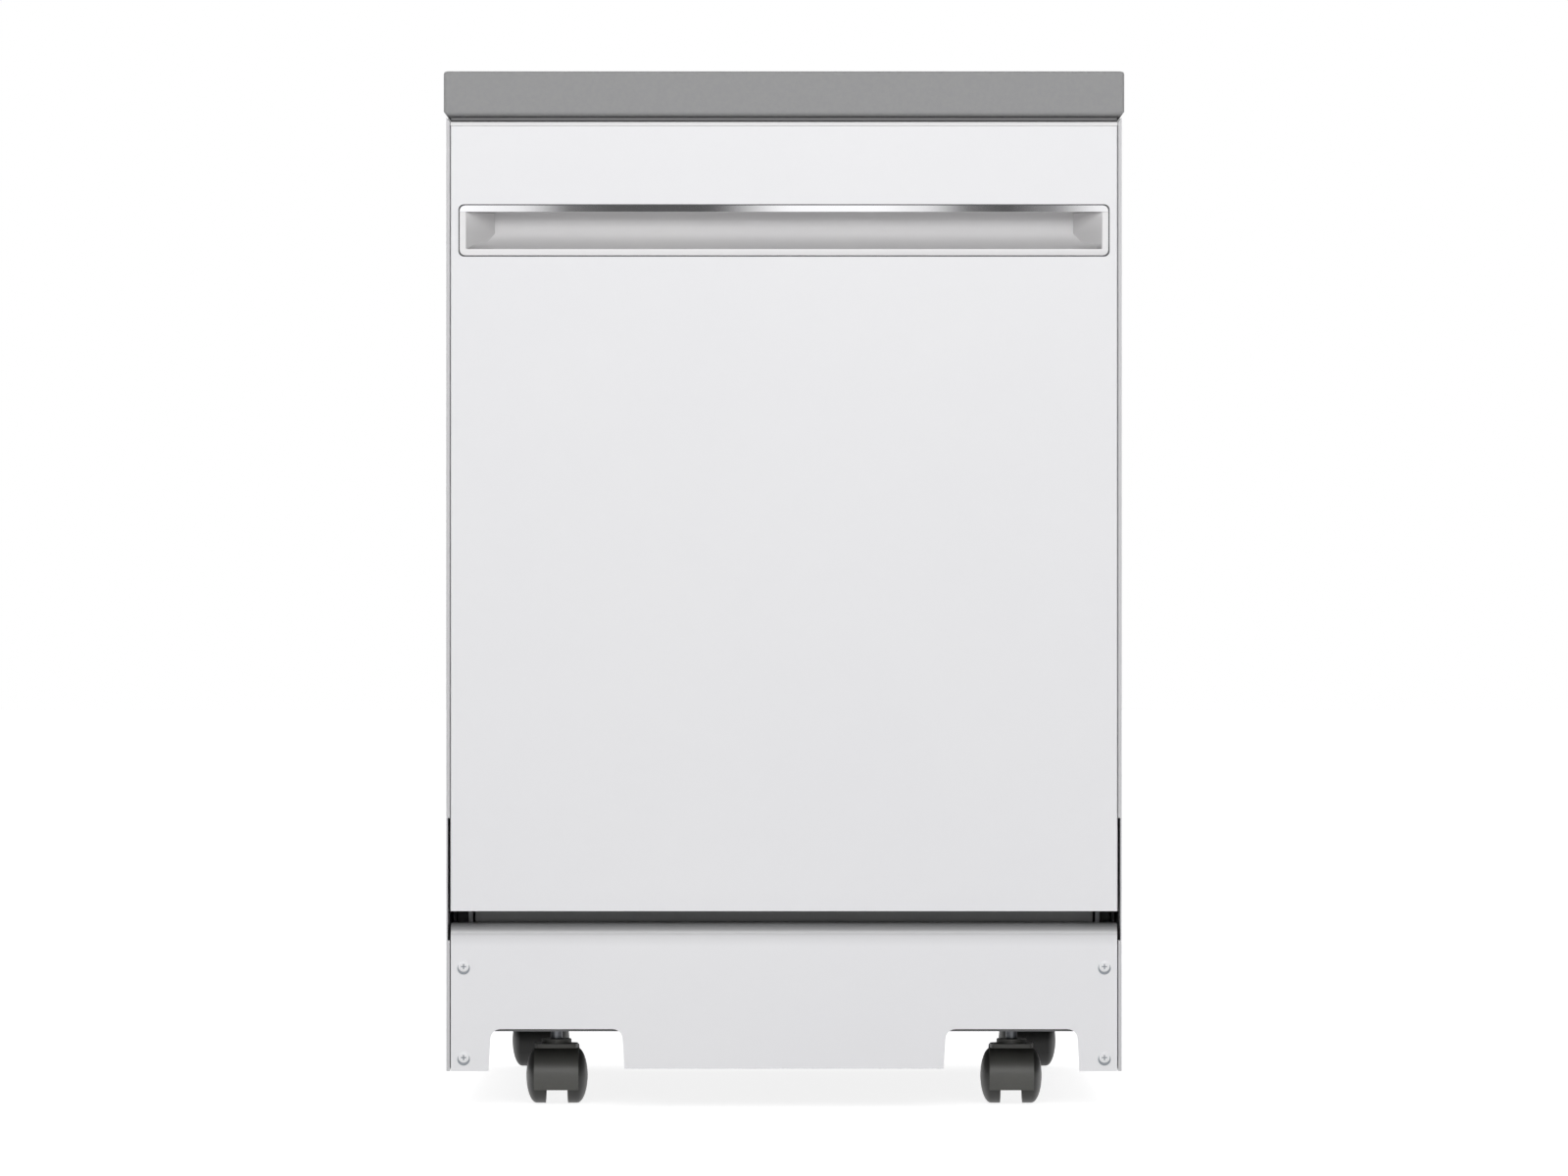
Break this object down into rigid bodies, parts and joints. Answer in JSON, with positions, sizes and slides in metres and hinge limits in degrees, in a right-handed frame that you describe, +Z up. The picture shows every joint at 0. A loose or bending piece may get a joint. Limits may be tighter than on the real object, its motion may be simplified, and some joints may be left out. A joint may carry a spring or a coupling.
{
  "type": "portable dishwasher on wheels",
  "caption": "Portable dishwasher on twin-wheel casters: grey worktop, white drop-down door with pocket handle, tub, sliding racks and spray arms.",
  "frame": {"origin": "on the floor under the middle of the worktop (bottom centre of the bounding box)", "axes": "+Z up, +X to the right of a person facing the door, the door faces -Y"},
  "size_m": [0.606, 0.65, 0.925],
  "materials": {
    "worktop": "matt mid grey laminate",
    "white_enamel": "smooth white appliance enamel",
    "white_plastic": "satin white moulded plastic",
    "chrome": "polished bright metal",
    "frame_paint": "matt dark grey paint on folded sheet",
    "stainless": "fine brushed stainless sheet",
    "zinc_steel": "dull zinc-plated sheet",
    "spring_steel": "dark drawn wire",
    "caster_plastic": "satin black nylon",
    "black_rubber": "matt black rubber",
    "dark_plastic": "matt dark grey moulded plastic",
    "grey_plastic": "satin mid grey moulded plastic",
    "valve_plastic": "natural nylon",
    "rack_coating": "pale grey nylon-coated wire",
    "button_plastic": "satin pale grey"
  },
  "bodies": {
    "cabinet": {"worktop": "worktop", "top_frame": "frame_paint", "side_panel_left": "white_enamel", "side_panel_right": "white_enamel", "rear_panel": "zinc_steel", "hose_compartment": "dark_plastic", "inlet_valve": "valve_plastic", "cord_gland": "black_rubber", "base_frame": "frame_paint", "kick_plate": "white_enamel", "hinge_bracket_left": "zinc_steel", "hinge_bracket_right": "zinc_steel", "door_spring_left": "spring_steel", "door_spring_right": "spring_steel", "tub": "stainless", "tub_gasket": "black_rubber", "sump": "dark_plastic", "filter_plate": "stainless", "wash_pump": "dark_plastic", "drain_pump": "dark_plastic", "water_feed_tube": "grey_plastic", "heating_element": "spring_steel"},
    "door": {"door_outer_panel": "white_enamel", "door_inner_liner": "stainless", "door_bottom_seal": "black_rubber", "handle_pocket": "white_plastic", "handle_trim": "chrome", "control_console": "white_plastic", "door_latch": "dark_plastic", "detergent_dispenser": "grey_plastic", "hinge_arm_left": "zinc_steel", "hinge_arm_right": "zinc_steel"},
    "detergent_lid": {"detergent_lid": "grey_plastic"},
    "rinse_aid_cap": {"rinse_aid_cap": "dark_plastic"},
    "button_power": {"button_power": "button_plastic"},
    "button_cycle": {"button_cycle": "button_plastic"},
    "button_options": {"button_options": "button_plastic"},
    "button_start": {"button_start": "button_plastic"},
    "upper_rack": {"upper_rack": "rack_coating", "upper_feed_tube": "grey_plastic"},
    "upper_spray_arm": {"upper_spray_arm": "grey_plastic"},
    "upper_rail_left": {"upper_rail_left": "stainless"},
    "upper_rail_right": {"upper_rail_right": "stainless"},
    "lower_rack": {"lower_rack": "rack_coating"},
    "silverware_basket": {"silverware_basket": "grey_plastic"},
    "lower_spray_arm": {"lower_spray_arm": "grey_plastic"},
    "filter_cup": {"filter_cup": "grey_plastic"},
    "float_cap": {"float_cap": "grey_plastic"},
    "caster_front_left": {"caster_front_left": "caster_plastic"},
    "wheel_front_left_left": {"wheel_front_left_left": "caster_plastic"},
    "wheel_front_left_right": {"wheel_front_left_right": "caster_plastic"},
    "caster_front_right": {"caster_front_right": "caster_plastic"},
    "wheel_front_right_left": {"wheel_front_right_left": "caster_plastic"},
    "wheel_front_right_right": {"wheel_front_right_right": "caster_plastic"},
    "caster_rear_left": {"caster_rear_left": "caster_plastic"},
    "wheel_rear_left_left": {"wheel_rear_left_left": "caster_plastic"},
    "wheel_rear_left_right": {"wheel_rear_left_right": "caster_plastic"},
    "caster_rear_right": {"caster_rear_right": "caster_plastic"},
    "wheel_rear_right_left": {"wheel_rear_right_left": "caster_plastic"},
    "wheel_rear_right_right": {"wheel_rear_right_right": "caster_plastic"}
  },
  "joints": [
    {"name": "door_hinge", "type": "hinge", "parent": "cabinet", "child": "door", "pos_m": [0, -0.305, 0.188], "axis": [1, 0, 0], "range_deg": [0, 90], "stiffness_Nm_per_rad": 16},
    {"name": "detergent_lid_hinge", "type": "hinge", "parent": "door", "child": "detergent_lid", "pos_m": [0.13, -0.2593, 0.4562], "axis": [-1, 0, 0], "range_deg": [0, 100]},
    {"name": "rinse_aid_cap_turn", "type": "hinge", "parent": "door", "child": "rinse_aid_cap", "pos_m": [0.062, -0.262, 0.486], "axis": [0, 1, 0], "range_deg": [0, 90]},
    {"name": "button_power_press", "type": "slide", "parent": "door", "child": "button_power", "axis": [0, 0, -1], "range_m": [0, 0.001], "stiffness_N_per_m": 800},
    {"name": "button_cycle_press", "type": "slide", "parent": "door", "child": "button_cycle", "axis": [0, 0, -1], "range_m": [0, 0.001], "stiffness_N_per_m": 800},
    {"name": "button_options_press", "type": "slide", "parent": "door", "child": "button_options", "axis": [0, 0, -1], "range_m": [0, 0.001], "stiffness_N_per_m": 800},
    {"name": "button_start_press", "type": "slide", "parent": "door", "child": "button_start", "axis": [0, 0, -1], "range_m": [0, 0.001], "stiffness_N_per_m": 800},
    {"name": "upper_rack_slide", "type": "slide", "parent": "cabinet", "child": "upper_rack", "axis": [0, -1, 0], "range_m": [0, 0.5]},
    {"name": "upper_rail_left_slide", "type": "slide", "parent": "cabinet", "child": "upper_rail_left", "axis": [0, -1, 0], "range_m": [0, 0.25]},
    {"name": "upper_rail_right_slide", "type": "slide", "parent": "cabinet", "child": "upper_rail_right", "axis": [0, -1, 0], "range_m": [0, 0.25]},
    {"name": "lower_rack_slide", "type": "slide", "parent": "cabinet", "child": "lower_rack", "axis": [0, -1, 0], "range_m": [0, 0.5]},
    {"name": "silverware_basket_lift", "type": "slide", "parent": "lower_rack", "child": "silverware_basket", "axis": [0, 0, 1], "range_m": [0, 0.08]},
    {"name": "upper_spray_arm_spin", "type": "hinge", "parent": "upper_rack", "child": "upper_spray_arm", "pos_m": [0, -0.01, 0.53], "axis": [0, 0, 1], "continuous": true},
    {"name": "lower_spray_arm_spin", "type": "hinge", "parent": "cabinet", "child": "lower_spray_arm", "pos_m": [0, 0, 0.245], "axis": [0, 0, 1], "continuous": true},
    {"name": "filter_cup_turn", "type": "hinge", "parent": "cabinet", "child": "filter_cup", "pos_m": [0.048, 0.042, 0.2], "axis": [0, 0, -1], "range_deg": [0, 90]},
    {"name": "float_lift", "type": "slide", "parent": "cabinet", "child": "float_cap", "axis": [0, 0, 1], "range_m": [0, 0.008]},
    {"name": "caster_front_left_swivel", "type": "hinge", "parent": "cabinet", "child": "caster_front_left", "pos_m": [-0.205, -0.245, 0.06], "axis": [0, 0, 1], "continuous": true},
    {"name": "wheel_front_left_left_spin", "type": "hinge", "parent": "caster_front_left", "child": "wheel_front_left_left", "pos_m": [-0.2238, -0.233, 0.025], "axis": [1, 0, 0], "continuous": true},
    {"name": "wheel_front_left_right_spin", "type": "hinge", "parent": "caster_front_left", "child": "wheel_front_left_right", "pos_m": [-0.1862, -0.233, 0.025], "axis": [1, 0, 0], "continuous": true},
    {"name": "caster_front_right_swivel", "type": "hinge", "parent": "cabinet", "child": "caster_front_right", "pos_m": [0.205, -0.245, 0.06], "axis": [0, 0, 1], "continuous": true},
    {"name": "wheel_front_right_left_spin", "type": "hinge", "parent": "caster_front_right", "child": "wheel_front_right_left", "pos_m": [0.1862, -0.233, 0.025], "axis": [1, 0, 0], "continuous": true},
    {"name": "wheel_front_right_right_spin", "type": "hinge", "parent": "caster_front_right", "child": "wheel_front_right_right", "pos_m": [0.2238, -0.233, 0.025], "axis": [1, 0, 0], "continuous": true},
    {"name": "caster_rear_left_swivel", "type": "hinge", "parent": "cabinet", "child": "caster_rear_left", "pos_m": [-0.2365, 0.242, 0.06], "axis": [0, 0, 1], "continuous": true},
    {"name": "wheel_rear_left_left_spin", "type": "hinge", "parent": "caster_rear_left", "child": "wheel_rear_left_left", "pos_m": [-0.2553, 0.254, 0.025], "axis": [1, 0, 0], "continuous": true},
    {"name": "wheel_rear_left_right_spin", "type": "hinge", "parent": "caster_rear_left", "child": "wheel_rear_left_right", "pos_m": [-0.2177, 0.254, 0.025], "axis": [1, 0, 0], "continuous": true},
    {"name": "caster_rear_right_swivel", "type": "hinge", "parent": "cabinet", "child": "caster_rear_right", "pos_m": [0.2365, 0.242, 0.06], "axis": [0, 0, 1], "continuous": true},
    {"name": "wheel_rear_right_left_spin", "type": "hinge", "parent": "caster_rear_right", "child": "wheel_rear_right_left", "pos_m": [0.2177, 0.254, 0.025], "axis": [1, 0, 0], "continuous": true},
    {"name": "wheel_rear_right_right_spin", "type": "hinge", "parent": "caster_rear_right", "child": "wheel_rear_right_right", "pos_m": [0.2553, 0.254, 0.025], "axis": [1, 0, 0], "continuous": true}
  ],
  "couplings": [
    {"joint": "upper_rack_slide", "follows": "door_hinge", "m_per_rad": 0.318},
    {"joint": "upper_rail_left_slide", "follows": "door_hinge", "m_per_rad": 0.159},
    {"joint": "upper_rail_right_slide", "follows": "door_hinge", "m_per_rad": 0.159},
    {"joint": "lower_rack_slide", "follows": "door_hinge", "m_per_rad": 0.095}
  ]
}
